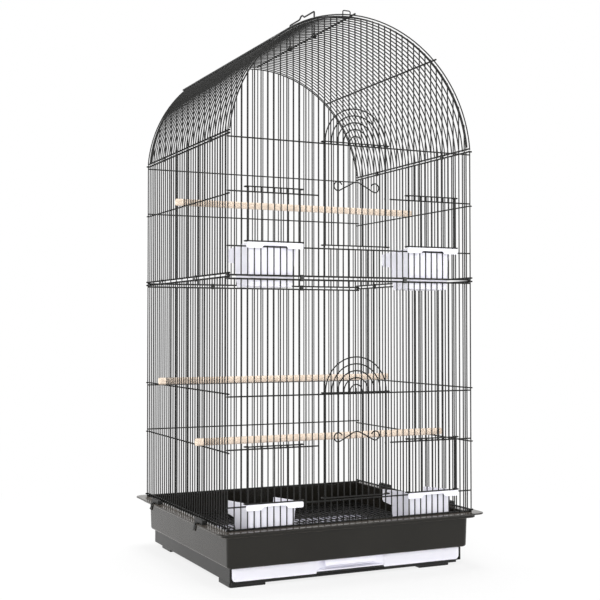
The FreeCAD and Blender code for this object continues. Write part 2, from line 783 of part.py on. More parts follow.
def joint_clip(centre, along, first, second, wire):
    """A folded clip round two parallel wires that lie one above the other.

    The wires are at heights first and second, and run along the given axis.
    """
    pocket = wire / 2 + clip_ease
    shell = pocket + clip_sheet
    across = V(0, 0, 1).cross(along)
    half = clip_length / 2

    def prism(reach, length):
        low, high = min(first, second) - reach, max(first, second) + reach
        corner = V(centre.x, centre.y, low) - along * length - across * reach
        size = along * (2 * length) + across * (2 * reach)
        low_x, low_y = min(corner.x, corner.x + size.x), min(corner.y, corner.y + size.y)
        return Part.makeBox(abs(size.x), abs(size.y), high - low, V(low_x, low_y, low))

    return prism(shell, half).cut(prism(pocket, half + clip_sheet))


def make_clips():
    along_x, along_y = V(1, 0, 0), V(0, 1, 0)
    front_clip_x = clip_front_gaps * bar_pitch
    for side, x in (("left", -front_clip_x), ("right", front_clip_x)):
        front = joint_clip(V(x, front_rail_y, 0), along_x, lower_top_z, upper_foot_z, rail_wire)
        save("front_" + side + "_joint_clip", front)
        save("back_" + side + "_joint_clip", mirrored_y(front))
    side_low, side_high = lower_top_z + rail_wire, upper_foot_z + rail_wire
    for end, index in (("front", clip_side_front_gaps), ("back", clip_side_back_gaps)):
        right = joint_clip(V(side_rail_x, side_y(index), 0), along_y, side_low, side_high,
                           rail_wire)
        save("right_" + end + "_joint_clip", right)
        save("left_" + end + "_joint_clip", mirrored_x(right))
    for end, y in (("front", side_y(eave_clip_gaps)), ("back", -side_y(eave_clip_gaps))):
        right = joint_clip(V(side_rail_x, y, 0), along_y, eave_z, roof_rail_z, rail_wire)
        save("right_" + end + "_eave_clip", right)
        save("left_" + end + "_eave_clip", mirrored_x(right))


make_walls()
make_roof()
make_doors()
make_base()
make_perches()
save("carry_handle", carry_handle())
make_clips()
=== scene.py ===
"""A tall barrel-roofed bird cage of welded wire on a moulded base, dressed piece by piece.

Sizes are in millimetres and are turned to metres where a mesh is made. X runs to the right
along the door side, Y to the back and Z up. The door side faces -Y.
"""

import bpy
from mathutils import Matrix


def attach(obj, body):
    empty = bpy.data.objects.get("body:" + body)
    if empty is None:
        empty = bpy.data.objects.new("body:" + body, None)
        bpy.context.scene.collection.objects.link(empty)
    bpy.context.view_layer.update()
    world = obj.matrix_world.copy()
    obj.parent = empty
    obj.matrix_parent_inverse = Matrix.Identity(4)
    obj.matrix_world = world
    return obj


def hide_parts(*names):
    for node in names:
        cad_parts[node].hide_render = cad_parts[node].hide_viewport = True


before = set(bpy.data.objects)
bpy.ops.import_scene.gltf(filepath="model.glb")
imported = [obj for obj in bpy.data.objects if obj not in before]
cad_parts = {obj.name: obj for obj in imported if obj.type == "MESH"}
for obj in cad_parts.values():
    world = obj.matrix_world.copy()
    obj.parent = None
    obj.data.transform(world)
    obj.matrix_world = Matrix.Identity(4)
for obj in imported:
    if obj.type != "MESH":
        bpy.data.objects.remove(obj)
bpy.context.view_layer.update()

import math

import bpy
import numpy as np
from mathutils import Vector

# Camera. The picture was taken from the left of the door side, at rather less than half the
# height of the cage and about two metres from it, with the camera tipped up by a hair.
camera_place = (-0.8791, -1.8340, 0.4157)
camera_turn = -25.046
camera_tip = 1.449
camera_lens = 66.12
camera_shift = 0.0148

lens = bpy.data.cameras.new("camera")
lens.lens = camera_lens
lens.shift_x = camera_shift
camera = bpy.data.objects.new("camera", lens)
camera.location = camera_place
camera.rotation_euler = (math.radians(90 + camera_tip), 0, math.radians(camera_turn))
bpy.context.scene.collection.objects.link(camera)
bpy.context.scene.camera = camera
bpy.context.scene.view_settings.view_transform = "Standard"

# Studio. A seamless white sweep: the eye and polished surfaces see it at full white, while the
# soft light that it throws on the cage is kept lower, so that colours render as written.
room_light = 0.64
floor_half = 8.0
floor_white = "#f2f2f2"
floor_clear = 0.8
floor_fade = (0.3, 1.0)
lamps = {
    "key_lamp": ((-1.6, -3.2, 0.9), 2.2, 68),
    "fill_lamp": ((2.2, -2.7, 0.8), 2.0, 36),
    "top_lamp": ((0.2, 0.6, 3.2), 1.8, 58),
    "side_lamp": ((-2.6, 1.2, 1.0), 2.2, 30),
}
lamp_aim = (0, 0, 0.45)


def add_node(tree, kind, inputs=(), **settings):
    """Adds a node, gives it its settings, and fills each input with a number or a link."""
    made = tree.nodes.new(kind)
    for name, value in settings.items():
        setattr(made, name, value)
    for key, value in dict(inputs).items():
        if isinstance(value, bpy.types.NodeSocket):
            tree.links.new(value, made.inputs[key])
        else:
            made.inputs[key].default_value = value
    return made


def linear(code):
    """Linear colour of an sRGB hex code: c / 12.92 when dark, else ((c + 0.055) / 1.055) ^ 2.4."""
    share = np.array([int(code[start:start + 2], 16) for start in (1, 3, 5)]) / 255
    value = np.where(share <= 0.04045, share / 12.92, ((share + 0.055) / 1.055) ** 2.4)
    return (*(float(part) for part in value), 1.0)


def seen_directly(tree):
    """1 where the eye, a reflection or a ray through glass looks, and 0 for soft light."""
    path = add_node(tree, "ShaderNodeLightPath")
    shiny = add_node(tree, "ShaderNodeMath", {0: path.outputs["Is Camera Ray"],
                                              1: path.outputs["Is Glossy Ray"]},
                     operation="MAXIMUM")
    return add_node(tree, "ShaderNodeMath", {0: shiny.outputs[0],
                                             1: path.outputs["Is Transmission Ray"]},
                    operation="MAXIMUM").outputs[0]


room = bpy.data.worlds.new("white_studio")
bpy.context.scene.world = room
room.use_nodes = True
room.node_tree.nodes.clear()
level = add_node(room.node_tree, "ShaderNodeMapRange",
                 {"Value": seen_directly(room.node_tree), "To Min": room_light, "To Max": 1.0})
glow = add_node(room.node_tree, "ShaderNodeBackground",
                {"Color": (1, 1, 1, 1), "Strength": level.outputs[0]})
add_node(room.node_tree, "ShaderNodeOutputWorld", {"Surface": glow.outputs[0]})

sweep = bpy.data.materials.new("matt_white_sweep")
sweep.use_nodes = True
tree = sweep.node_tree
tree.nodes.clear()
place = add_node(tree, "ShaderNodeTexCoord")
reach = add_node(tree, "ShaderNodeVectorMath", {0: place.outputs["Object"]}, operation="LENGTH")
clear = add_node(tree, "ShaderNodeMapRange",
                 {"Value": reach.outputs["Value"], "From Min": floor_fade[0],
                  "From Max": floor_fade[1], "To Min": floor_clear, "To Max": 1.0},
                 interpolation_type="SMOOTHSTEP")
share = add_node(tree, "ShaderNodeMath", {0: clear.outputs[0], 1: seen_directly(tree)},
                 operation="MULTIPLY")
paper = add_node(tree, "ShaderNodeBsdfDiffuse", {"Color": linear(floor_white)})
white = add_node(tree, "ShaderNodeEmission", {"Color": (1, 1, 1, 1), "Strength": 1.0})
both = add_node(tree, "ShaderNodeMixShader",
                {0: share.outputs[0], 1: paper.outputs[0], 2: white.outputs[0]})
add_node(tree, "ShaderNodeOutputMaterial", {"Surface": both.outputs[0]})

floor_mesh = bpy.data.meshes.new("studio_floor")
floor_mesh.from_pydata([(-floor_half, -floor_half, 0), (floor_half, -floor_half, 0),
                        (floor_half, floor_half, 0), (-floor_half, floor_half, 0)],
                       [], [(0, 1, 2, 3)])
floor_mesh.materials.append(sweep)
studio_floor = bpy.data.objects.new("studio_floor", floor_mesh)
bpy.context.scene.collection.objects.link(studio_floor)

for name, (spot, width, power) in lamps.items():
    bulb = bpy.data.lights.new(name, "AREA")
    bulb.shape = "DISK"
    bulb.size = width
    bulb.energy = power
    lamp = bpy.data.objects.new(name, bulb)
    lamp.location = spot
    aim = Vector(lamp_aim) - Vector(spot)
    lamp.rotation_euler = aim.to_track_quat("-Z", "Y").to_euler()
    bpy.context.scene.collection.objects.link(lamp)

# Base tub. One deep injection moulding of black polystyrene: drafted walls with a rounded foot, a
# stepped wide flange that the wire walls stand on, and a ledge for the grille. Small ears on the
# edge of the flange hold the pins of the clasps.
corner_steps = 6
tub_foot = [(222 + 4 * math.sin(turn), 199 + 4 * math.sin(turn), 8 + 2 * math.sin(turn),
             36 - 4 * math.cos(turn)) for turn in np.radians((0, 22.5, 45, 67.5, 90))]
tub_section = (
    (206.0, 183.0, 4.0, 32.0), *tub_foot, (227.3, 204.3, 10.0, 83.3), (228.0, 205.0, 10.3, 84.0),
    (238.2, 215.2, 14.4, 84.0), (239.0, 216.0, 15.0, 84.8), (239.0, 216.0, 15.0, 89.9),
    (239.6, 216.6, 15.4, 90.5), (249.4, 226.4, 17.4, 90.5), (250.0, 227.0, 18.0, 91.1),
    (250.0, 227.0, 18.0, 92.3), (249.3, 226.3, 17.4, 93.0), (225.9, 202.9, 6.2, 93.0),
    (225.1, 202.1, 5.6, 92.2), (224.0, 201.0, 5.6, 50.6), (223.4, 200.4, 5.0, 50.0),
    (217.2, 194.2, 3.6, 50.0), (216.6, 193.6, 3.0, 49.4), (216.6, 193.6, 3.0, 47.6),
    (217.2, 194.2, 3.6, 47.0), (223.9, 200.9, 5.4, 47.0), (223.6, 200.6, 5.6, 37.0),
    (222.6, 199.6, 4.6, 36.0), (206.0, 183.0, 4.0, 36.0),
)
clasp_place = 115.0
clasp_axis = (251.6, 84.0)
ear_places = (-4.8, 3.0)
ear_width = 1.8
pin_radius = 1.0
tub_black = ("#13110c", "#1b1914")
tub_grain = 0.7
tub_flow = 60.0


def level_outline(half_x, half_y, corner, height, centre=(0, 0)):
    """Rounded rectangle, anticlockwise from above: corner centre + corner x (cos turn, sin turn)
    over each quarter."""
    turn = np.radians(90 * np.arange(4)[:, None] + np.linspace(0, 90, corner_steps + 1))
    sign = np.array([[1, 1], [-1, 1], [-1, -1], [1, -1]])
    quarters = np.stack([sign[:, :1] * (half_x - corner) + corner * np.cos(turn),
                         sign[:, 1:] * (half_y - corner) + corner * np.sin(turn)], axis=2)
    flat = quarters.reshape(-1, 2) + centre
    return np.column_stack([flat, np.full(len(flat), height)])


def lofted(rings, capped=True):
    """Surface over rings x points: face (r, p) joins point p and p + 1 of ring r to those of
    ring r + 1. Capped, the first and last rings are filled; otherwise they join each other."""
    rings = np.asarray(rings, float)
    ring_count, point_count = rings.shape[:2]
    index = np.arange(ring_count * point_count).reshape(ring_count, point_count)
    if not capped:
        index = np.concatenate([index, index[:1]])
    beside = np.roll(index, -1, axis=1)
    quads = np.stack([index[:-1], beside[:-1], beside[1:], index[1:]], axis=2)
    faces = [quads.reshape(-1, 4)]
    if capped:
        faces += [index[:1, ::-1], index[-1:]]
    return rings.reshape(-1, 3), faces


def inset(outline, distance):
    """Closed plan outline moved inwards: point + distance x (n1 + n2) / (1 + n1 . n2), where n1
    and n2 are the inward directions of the two sides that meet there."""
    step = np.roll(outline, -1, axis=0) - outline
    step /= np.linalg.norm(step, axis=1, keepdims=True)
    inward = np.stack([-step[:, 1], step[:, 0]], axis=1)
    before = np.roll(inward, 1, axis=0)
    lean = 1 + np.sum(inward * before, axis=1, keepdims=True)
    return outline + distance * (inward + before) / lean


def slab(outline, low, high, axis="z", edge=0.5):
    """A flat outline given a thickness from low to high along an axis, its edges broken by edge.
    Along z the outline is (x, y), along y it is (x, z) and along x it is (y, z)."""
    flat = np.asarray(outline, float)
    if axis == "y":
        flat = flat[:, ::-1]
    ahead = np.roll(flat, -1, axis=0)
    if np.sum(flat[:, 0] * ahead[:, 1] - flat[:, 1] * ahead[:, 0]) < 0:
        flat = flat[::-1]
    small = inset(flat, edge)
    rings = [np.column_stack([plan, np.full(len(plan), height)])
             for plan, height in ((small, low), (flat, low + edge), (flat, high - edge),
                                  (small, high))]
    return lofted(np.roll(rings, {"z": 0, "x": 1, "y": 2}[axis], axis=2))


def arc(centre, radius, first, last, steps=8):
    """Points at centre + radius x (cos turn, sin turn), from the first to the last angle."""
    turn = np.radians(np.linspace(first, last, steps + 1))
    return np.array(centre) + radius * np.stack([np.cos(turn), np.sin(turn)], axis=1)


def round_wires(paths, radius, square_to, sides=8):
    """Round wire along each path. A ring stands at each point of the path, at the point
    + radius x (cos turn x square_to + sin turn x side / cos(half the bend)), where side is
    square to the path and to square_to. Both ends are rounded off over 0.4 radius."""
    paths = np.asarray(paths, float)
    paths = paths.reshape(-1, *paths.shape[-2:])
    step = np.diff(paths, axis=1)
    step /= np.linalg.norm(step, axis=2, keepdims=True)
    first, last = step[:, :1], step[:, -1:]
    along = np.concatenate([first, step[:, :-1] + step[:, 1:], last], axis=1)
    along /= np.linalg.norm(along, axis=2, keepdims=True)
    mitre = 1 / np.sum(along * np.concatenate([first, step], axis=1), axis=2, keepdims=True)
    side = np.cross(along, np.array(square_to, float)) * mitre
    rounding = 0.4 * radius
    centres = np.concatenate([paths[:, :1], paths[:, :1] + rounding * first, paths[:, 1:-1],
                              paths[:, -1:] - rounding * last, paths[:, -1:]], axis=1)
    side = np.concatenate([side[:, :1], side, side[:, -1:]], axis=1)[:, :, None]
    wide = np.full(centres.shape[1], float(radius))
    wide[[0, -1]] = 0.65 * radius
    turn = np.linspace(0, 2 * np.pi, sides, endpoint=False)[:, None]
    ring = np.cos(turn) * np.array(square_to, float) + np.sin(turn) * side
    rings = centres[:, :, None] + wide[:, None, None] * ring
    wire_count, ring_count = rings.shape[:2]
    poles = paths[:, [0, -1]]
    points = np.concatenate([rings.reshape(wire_count, -1, 3), poles], axis=1)
    start = np.arange(wire_count)[:, None] * points.shape[1]
    index = np.arange(ring_count * sides).reshape(ring_count, sides)
    beside = np.roll(index, -1, axis=1)
    quads = np.stack([index[:-1], beside[:-1], beside[1:], index[1:]], axis=2).reshape(-1, 4)
    pole = np.full(sides, ring_count * sides)
    caps = np.concatenate([np.stack([pole, beside[0], index[0]], axis=1),
                           np.stack([pole + 1, index[-1], beside[-1]], axis=1)])
    return points.reshape(-1, 3), [(quads[None] + start[:, :, None]).reshape(-1, 4),
                                   (caps[None] + start[:, :, None]).reshape(-1, 3)]


def joined_piece(name, shells, finish, smooth_under=50):
    """One object from shells of points and faces. Edges sharper than smooth_under degrees stay
    crisp, and shading leans to the larger faces, so that flat walls look flat."""
    points = np.concatenate([shell[0] for shell in shells]) / 1000
    starts = np.cumsum([0] + [len(shell[0]) for shell in shells])
    faces = [group + start for shell, start in zip(shells, starts) for group in shell[1]]
    sizes = np.concatenate([np.full(len(group), group.shape[1]) for group in faces])
    corners = np.concatenate([group.ravel() for group in faces])
    mesh = bpy.data.meshes.new(name)
    mesh.vertices.add(len(points))
    mesh.vertices.foreach_set("co", points.ravel())
    mesh.loops.add(len(corners))
    mesh.loops.foreach_set("vertex_index", corners)
    mesh.polygons.add(len(sizes))
    mesh.polygons.foreach_set("loop_start", np.cumsum(sizes) - sizes)
    mesh.update(calc_edges=True)
    mesh.polygons.foreach_set("use_smooth", np.ones(len(sizes), bool))
    mesh.set_sharp_from_angle(angle=math.radians(smooth_under))
    mesh.materials.append(finish)
    made = bpy.data.objects.new(name, mesh)
    bpy.context.scene.collection.objects.link(made)
    evened = made.modifiers.new("even_shading", "WEIGHTED_NORMAL")
    evened.keep_sharp = True
    return made


moulded = {"ior": 1.55, "drift_detail": 4.0, "swing": 0.05, "grain_detail": 2.0, "depth": 0.25,
           "strength": 0.12}


def bare_material(name):
    """A material with an empty node tree but for the object's own coordinates."""
    finish = bpy.data.materials.new(name)
    finish.use_nodes = True
    finish.node_tree.nodes.clear()
    return finish, finish.node_tree, add_node(finish.node_tree, "ShaderNodeTexCoord")


def drifting_skin(name, shades, drift_size, grain, roughness, specular, ior, drift_detail, swing,
                  grain_detail, depth, strength, bloom=0.0, milk=0.0):
    """Two near shades drift over the piece, the gloss swings a little with them, and a fine
    grain, as deep as a share of its size, breaks up the reflections. Bloom is a warm veil of
    dust at a glancing look; milk is the share of light that soaks in."""
    finish, tree, place = bare_material(name)
    drift = add_node(tree, "ShaderNodeTexNoise",
                     {"Vector": place.outputs["Object"], "Scale": 1000 / drift_size,
                      "Detail": drift_detail})
    shade = add_node(tree, "ShaderNodeMix", {0: drift.outputs[0], 6: linear(shades[0]),
                                             7: linear(shades[1])}, data_type="RGBA")
    gloss = add_node(tree, "ShaderNodeMapRange",
                     {"Value": drift.outputs[0], "From Min": 0.3, "From Max": 0.7,
                      "To Min": roughness - swing, "To Max": roughness + swing})
    skin = add_node(tree, "ShaderNodeTexNoise", {"Vector": place.outputs["Object"],
                                                 "Scale": 1000 / grain, "Detail": grain_detail})
    relief = add_node(tree, "ShaderNodeBump",
                      {"Strength": strength, "Distance": grain * depth / 1000,
                       "Height": skin.outputs[0]})
    surface = add_node(tree, "ShaderNodeBsdfPrincipled",
                       {"Base Color": shade.outputs[2], "Roughness": gloss.outputs[0],
                        "IOR": ior, "Specular IOR Level": specular,
                        "Sheen Weight": bloom, "Sheen Roughness": 0.35,
                        "Sheen Tint": linear("#fff0e2"), "Subsurface Weight": milk,
                        "Subsurface Radius": (1.0, 1.0, 1.1), "Subsurface Scale": 0.005,
                        "Normal": relief.outputs[0]})
    add_node(tree, "ShaderNodeOutputMaterial", {"Surface": surface.outputs[0]})
    return finish


# Black polystyrene is near-black under a satin skin that turns pale at a glancing look.
black_polystyrene = drifting_skin("satin_moulded_black_polystyrene", tub_black, tub_flow,
                                  tub_grain, 0.2, 0.26, **moulded, bloom=0.12)

tub_shells = [lofted([level_outline(*level) for level in tub_section], capped=False)]
ear = np.concatenate([[(248.0, 90.9)], arc(clasp_axis, 1.9, 180, 360), [(249.9, 90.9)]])
for side in (-1, 1):
    for spot in (-clasp_place, clasp_place):
        for offset in ear_places:
            tub_shells.append(slab(ear * (side, 1), spot + offset, spot + offset + ear_width,
                                   axis="y", edge=0.3))
        pin = [(side * clasp_axis[0], spot + end, clasp_axis[1]) for end in (-4.8, 4.8)]
        tub_shells.append(round_wires([pin], pin_radius, (0, 0, 1)))
tub = joined_piece("moulded_base_tub", tub_shells, black_polystyrene)
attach(tub, "cage")
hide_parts("base_tub")

# Drawer frame. A second black moulding under the tub: a low wall round three sides, a runner
# all round, a rib across the middle, a raised sill in the mouth and four foot pads. Its front
# stands back under the tub, and the foot of its side walls is higher than its runners.
frame_half_x, frame_near, frame_far = 219.0, -190.0, 196.0
frame_corner = 5.0
frame_middle = (0, (frame_near + frame_far) / 2)
frame_wall_section = ((0.6, 7.6), (0, 8.2), (0, 31.4), (0.6, 32.0), (2.9, 32.0), (3.5, 31.4),
                      (3.5, 8.2), (2.9, 7.6))
runner_section = (
    (191.0, 165.0, 2.0, 4.0), (210.4, 192.4, 2.4, 4.0), (211.0, 193.0, 3.0, 4.6),
    (211.0, 193.0, 3.0, 7.6), (217.0, 193.0, 3.0, 7.7), (217.0, 193.0, 3.0, 8.2),
    (216.6, 192.6, 2.6, 8.6), (191.0, 165.0, 2.0, 8.6),
)
sill = ((-64, 7), (-64, 8.6), (-57, 11.6), (57, 11.6), (64, 8.6), (64, 7))
foot_pad = np.concatenate([[(156.5, 162.0), (156.5, 189.5)], arc((213.5, 184.5), 5, 90, 0),
                           [(218.5, 140.5), (191.0, 140.5), (191.0, 162.0)]])
foot_insets = {(-1, -1): (0, 0), (1, -1): (22.5, 0), (-1, 1): (5.5, 18.5), (1, 1): (5.5, 18.5)}
frame_black = ("#0b0b0a", "#121211")


def swept(path, section):
    """A moulded wall along an open plan path: point of the path + depth x inward normal, where
    the section gives depths and heights, with its ends drawn in a little over the last 0.5."""
    path = np.asarray(path, float)
    step = np.diff(path, axis=0)
    step /= np.linalg.norm(step, axis=1, keepdims=True)
    inward = np.stack([-step[:, 1], step[:, 0]], axis=1)
    before, after = np.vstack([inward[:1], inward]), np.vstack([inward, inward[-1:]])
    normal = (before + after) / (1 + np.sum(before * after, axis=1, keepdims=True))
    depth, height = np.array(section, float).T
    rings = np.concatenate([path[:, None] + depth[None, :, None] * normal[:, None],
                            np.broadcast_to(height, (len(path), len(height)))[:, :, None]],
                           axis=2)
    small = [ring.mean(axis=0) + 0.8 * (ring - ring.mean(axis=0)) for ring in rings[[0, -1]]]
    back = [(*(0.5 * step[0]), 0), (*(-0.5 * step[-1]), 0)]
    rings[0] += back[0]
    rings[-1] += back[1]
    return lofted([small[0], *rings, small[1]][::-1])


frame_path = np.concatenate([
    [(frame_half_x, frame_near)],
    arc((frame_half_x - frame_corner, frame_far - frame_corner), frame_corner, 0, 90),
    arc((frame_corner - frame_half_x, frame_far - frame_corner), frame_corner, 90, 180),
    [(-frame_half_x, frame_near)]])
frame_shells = [
    swept(frame_path, frame_wall_section),
    lofted([level_outline(*level, frame_middle) for level in runner_section], capped=False),
    slab([(-5.25, -164), (5.25, -164), (5.25, 170), (-5.25, 170)], 4.1, 8.5),
    slab(sill, frame_near, frame_near + 3.5, axis="y", edge=0.4),
]
for (side, end), inwards in foot_insets.items():
    frame_shells.append(slab((foot_pad - inwards) * (side, end), 0, 7.7, edge=0.7))

# The frame is moulded from the same plastic, unpolished: it is duller and darker than the tub.
frame_polystyrene = drifting_skin("dull_moulded_black_polystyrene", frame_black, tub_flow, 0.5,
                                  0.3, 0.26, **moulded, bloom=0.07)
drawer_frame = joined_piece("moulded_drawer_frame", frame_shells, frame_polystyrene)
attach(drawer_frame, "cage")
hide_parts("drawer_frame")

# Drawer tray. A white polystyrene pan that slides out of the door side: its front face hangs
# lower beside the sill, and has a scoop in the middle behind a plate to pull it by.
white_shades = ("#eae9f6", "#f3f2fb")
tray_floor, tray_top = 12.0, 31.6
tray_wall = 2.2
scoop_outer, scoop_inner = 64.0, 48.0
scoop_back = -176.0
face_back, face_front = -188.0, -190.0

# White polystyrene has a cool, slightly milky white and a soft sheen.
white_polystyrene = drifting_skin("satin_moulded_white_polystyrene", white_shades, 45.0, 0.8,
                                  0.34, 0.5, **moulded, milk=0.3)

pan = np.concatenate([
    arc((210.1, 187.1), 5, 0, 90), arc((-210.1, 187.1), 5, 90, 180),
    arc((-210.1, -184.4), 5, 180, 270),
    [(-scoop_outer, -189.4), (-scoop_inner - 1, scoop_back), (scoop_inner + 1, scoop_back),
     (scoop_outer, -189.4)],
    arc((210.1, -184.4), 5, 270, 360)])
pan_section = ((0.8, tray_floor), (0, tray_floor + 0.8), (0, tray_top - 0.6),
               (0.6, tray_top), (tray_wall - 0.6, tray_top), (tray_wall, tray_top - 0.6),
               (tray_wall, tray_floor + tray_wall + 1), (tray_wall + 1, tray_floor + tray_wall))
tray_shells = [lofted([np.column_stack([inset(pan, depth), np.full(len(pan), height)])
                       for depth, height in pan_section])]
mouth = ((-scoop_outer, face_front), (scoop_outer, face_front), (scoop_inner, scoop_back + 1),
         (-scoop_inner, scoop_back + 1))
tray_shells.append(slab(mouth, tray_floor, tray_floor + tray_wall, edge=0.5))
tray_shells.append(slab(mouth, tray_top - tray_wall, tray_top, edge=0.5))
pull = np.concatenate([arc((-45, 23), 3, 180, 270), arc((45, 23), 3, 270, 360),
                       [(48, 31.6), (-48, 31.6)]])
tray_shells.append(slab(pull, face_front, face_front + 3, axis="y", edge=0.6))
for side in (-1, 1):
    face = np.concatenate([arc((-208.0, 16.0), 7, 180, 270), [(-65.2, 9.0), (-64, 9.6)],
                           [(-64, 31.5)], arc((-213.0, 29.5), 2, 90, 180, 4)])
    tray_shells.append(slab(face * (side, 1), face_front, face_back, axis="y", edge=0.6))
    skid = np.array([(202.1, -185), (210.1, -185), (210.1, 187), (202.1, 187)])
    tray_shells.append(slab(skid * (side, 1), 8.9, 12.6))
tray = joined_piece("white_drawer_tray", tray_shells, white_polystyrene)
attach(tray, "drawer")
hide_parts("drawer_tray")

# Floor grille. A welded wire mesh that lies on the ledge of the tub over the tray: close wires
# run from front to back on eleven cross wires, with one more under each side.
bar_pitch = 11.5
front_gaps, side_gaps = 40, 36
grille_wire = 2.2
grille_low, grille_high = 51.1, 53.3
grille_reach = (218.0, 197.2)
grille_side, grille_end = 219.1, 196.1
grille_cross = np.linspace(-grille_end, grille_end, 11)
weld_sides = 6
coat_black = ("#0f0f0e", "#171715")
coat_peel = 1.4
coat_cloud = 25.0
powdered = {"ior": 1.5, "drift_detail": 3.0, "swing": 0.06, "grain_detail": 1.0, "depth": 0.125,
            "strength": 0.2}


def front_x(index):
    return np.asarray(index) * bar_pitch - front_gaps * bar_pitch / 2


def side_y(index):
    return np.asarray(index) * bar_pitch - side_gaps * bar_pitch / 2


def straight(x, y, z):
    """Wire paths of two points: each of x, y and z is one number, one per wire, or a pair of
    rows that holds the start and the end of each wire."""
    parts = np.broadcast_arrays(*(np.atleast_2d(np.asarray(part, float)) for part in (x, y, z)))
    ends = np.stack(parts, axis=2)
    if len(ends) == 1:
        ends = np.concatenate([ends, ends])
    return ends.transpose(1, 0, 2)


def weld_beads(x, y, z, size):
    """The small swelling where two wires were fused: centre + size x (cos rise x cos turn,
    cos rise x sin turn, sin rise), over rises of -35 and 35 degrees and a point at each pole."""
    parts = np.broadcast_arrays(*(np.asarray(part, float) for part in (x, y, z)))
    centres = np.stack([part.ravel() for part in parts], axis=1)
    turn = np.linspace(0, 2 * np.pi, weld_sides, endpoint=False)
    rise = np.radians([-35.0, 35.0])[:, None]
    ring = np.stack([np.cos(rise) * np.cos(turn), np.cos(rise) * np.sin(turn),
                     np.sin(rise) * np.ones_like(turn)], axis=2).reshape(-1, 3)
    unit = np.concatenate([ring, [(0, 0, -1), (0, 0, 1)]]) * size
    points = (centres[:, None] + unit).reshape(-1, 3)
    low = np.arange(weld_sides)
    beside = np.roll(low, -1)
    high, over = low + weld_sides, beside + weld_sides
    pole = np.full(weld_sides, 2 * weld_sides)
    quads = np.stack([low, beside, over, high], axis=1)
    caps = np.concatenate([np.stack([pole, beside, low], axis=1),
                           np.stack([pole + 1, high, over], axis=1)])
    start = (np.arange(len(centres)) * len(unit))[:, None, None]
    return points, [(quads + start).reshape(-1, 4), (caps + start).reshape(-1, 3)]


# Black polyester powder baked on steel looks near-black head on, with a grey line of light along
# each wire. Its orange peel is drawn coarser than the real 0.3 mm, so that it shows.
coated_wire = drifting_skin("half_gloss_powder_coated_steel_wire", coat_black, coat_cloud,
                            coat_peel, 0.36, 0.25, **powdered)

grille_x = front_x(np.arange(1, front_gaps))
grille_shells = [
    round_wires(straight([[-grille_side, grille_side]] * 2,
                         [[-grille_reach[1]] * 2, [grille_reach[1]] * 2], grille_low),
                grille_wire / 2, (1, 0, 0)),
    round_wires(straight([[-grille_reach[0]] * 11, [grille_reach[0]] * 11], grille_cross,
                         grille_low), grille_wire / 2, (0, 0, 1)),
    round_wires(straight(grille_x, [[-grille_reach[1]] * 39, [grille_reach[1]] * 39],
                         grille_high), grille_wire / 2, (1, 0, 0)),
    weld_beads(grille_x[:, None], grille_cross[None], (grille_low + grille_high) / 2,
               (1.3, 1.3, 0.8)),
]
grille = joined_piece("welded_floor_grille", grille_shells, coated_wire)
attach(grille, "cage")
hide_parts("floor_grille")

# Door-side and rear walls. Upright wires of 2.2 mm are welded to level wires behind them, which
# are 2.4 mm, or 3.0 mm at the rails; the upper walls end in an arched wire of 2.4 mm.
wall_wire, cross_wire, rail_wire = 2.2, 2.4, 3.0
wall_y, cross_y, rail_y = 207.0, 204.7, 204.4
wall_reach = 231.1
levels = {"lower": (130.5, 221.5, 306.0), "upper": (547.0, 635.0, 722.0)}
rails = {"lower": (94.5, 494.5), "upper": (500.5,)}
wall_span = {"lower": (93.0, 496.0), "upper": (499.0, 728.5)}
arch_radius, arch_centre, arch_foot = 227.1, 711.5, 5.86
feeder_inner_end = 67.9
cross_bead = (1.5, 0.7, 1.5)


def wall_top(x, half):
    """Height of an upright's top: the rail's, or the arch's, centre + sqrt(radius^2 - x^2)."""
    flat = np.full(len(x), wall_span[half][1])
    if half == "lower":
        return flat
    arch = arch_centre + np.sqrt(np.maximum(arch_radius ** 2 - x ** 2, 0))
    return np.maximum(flat, arch)


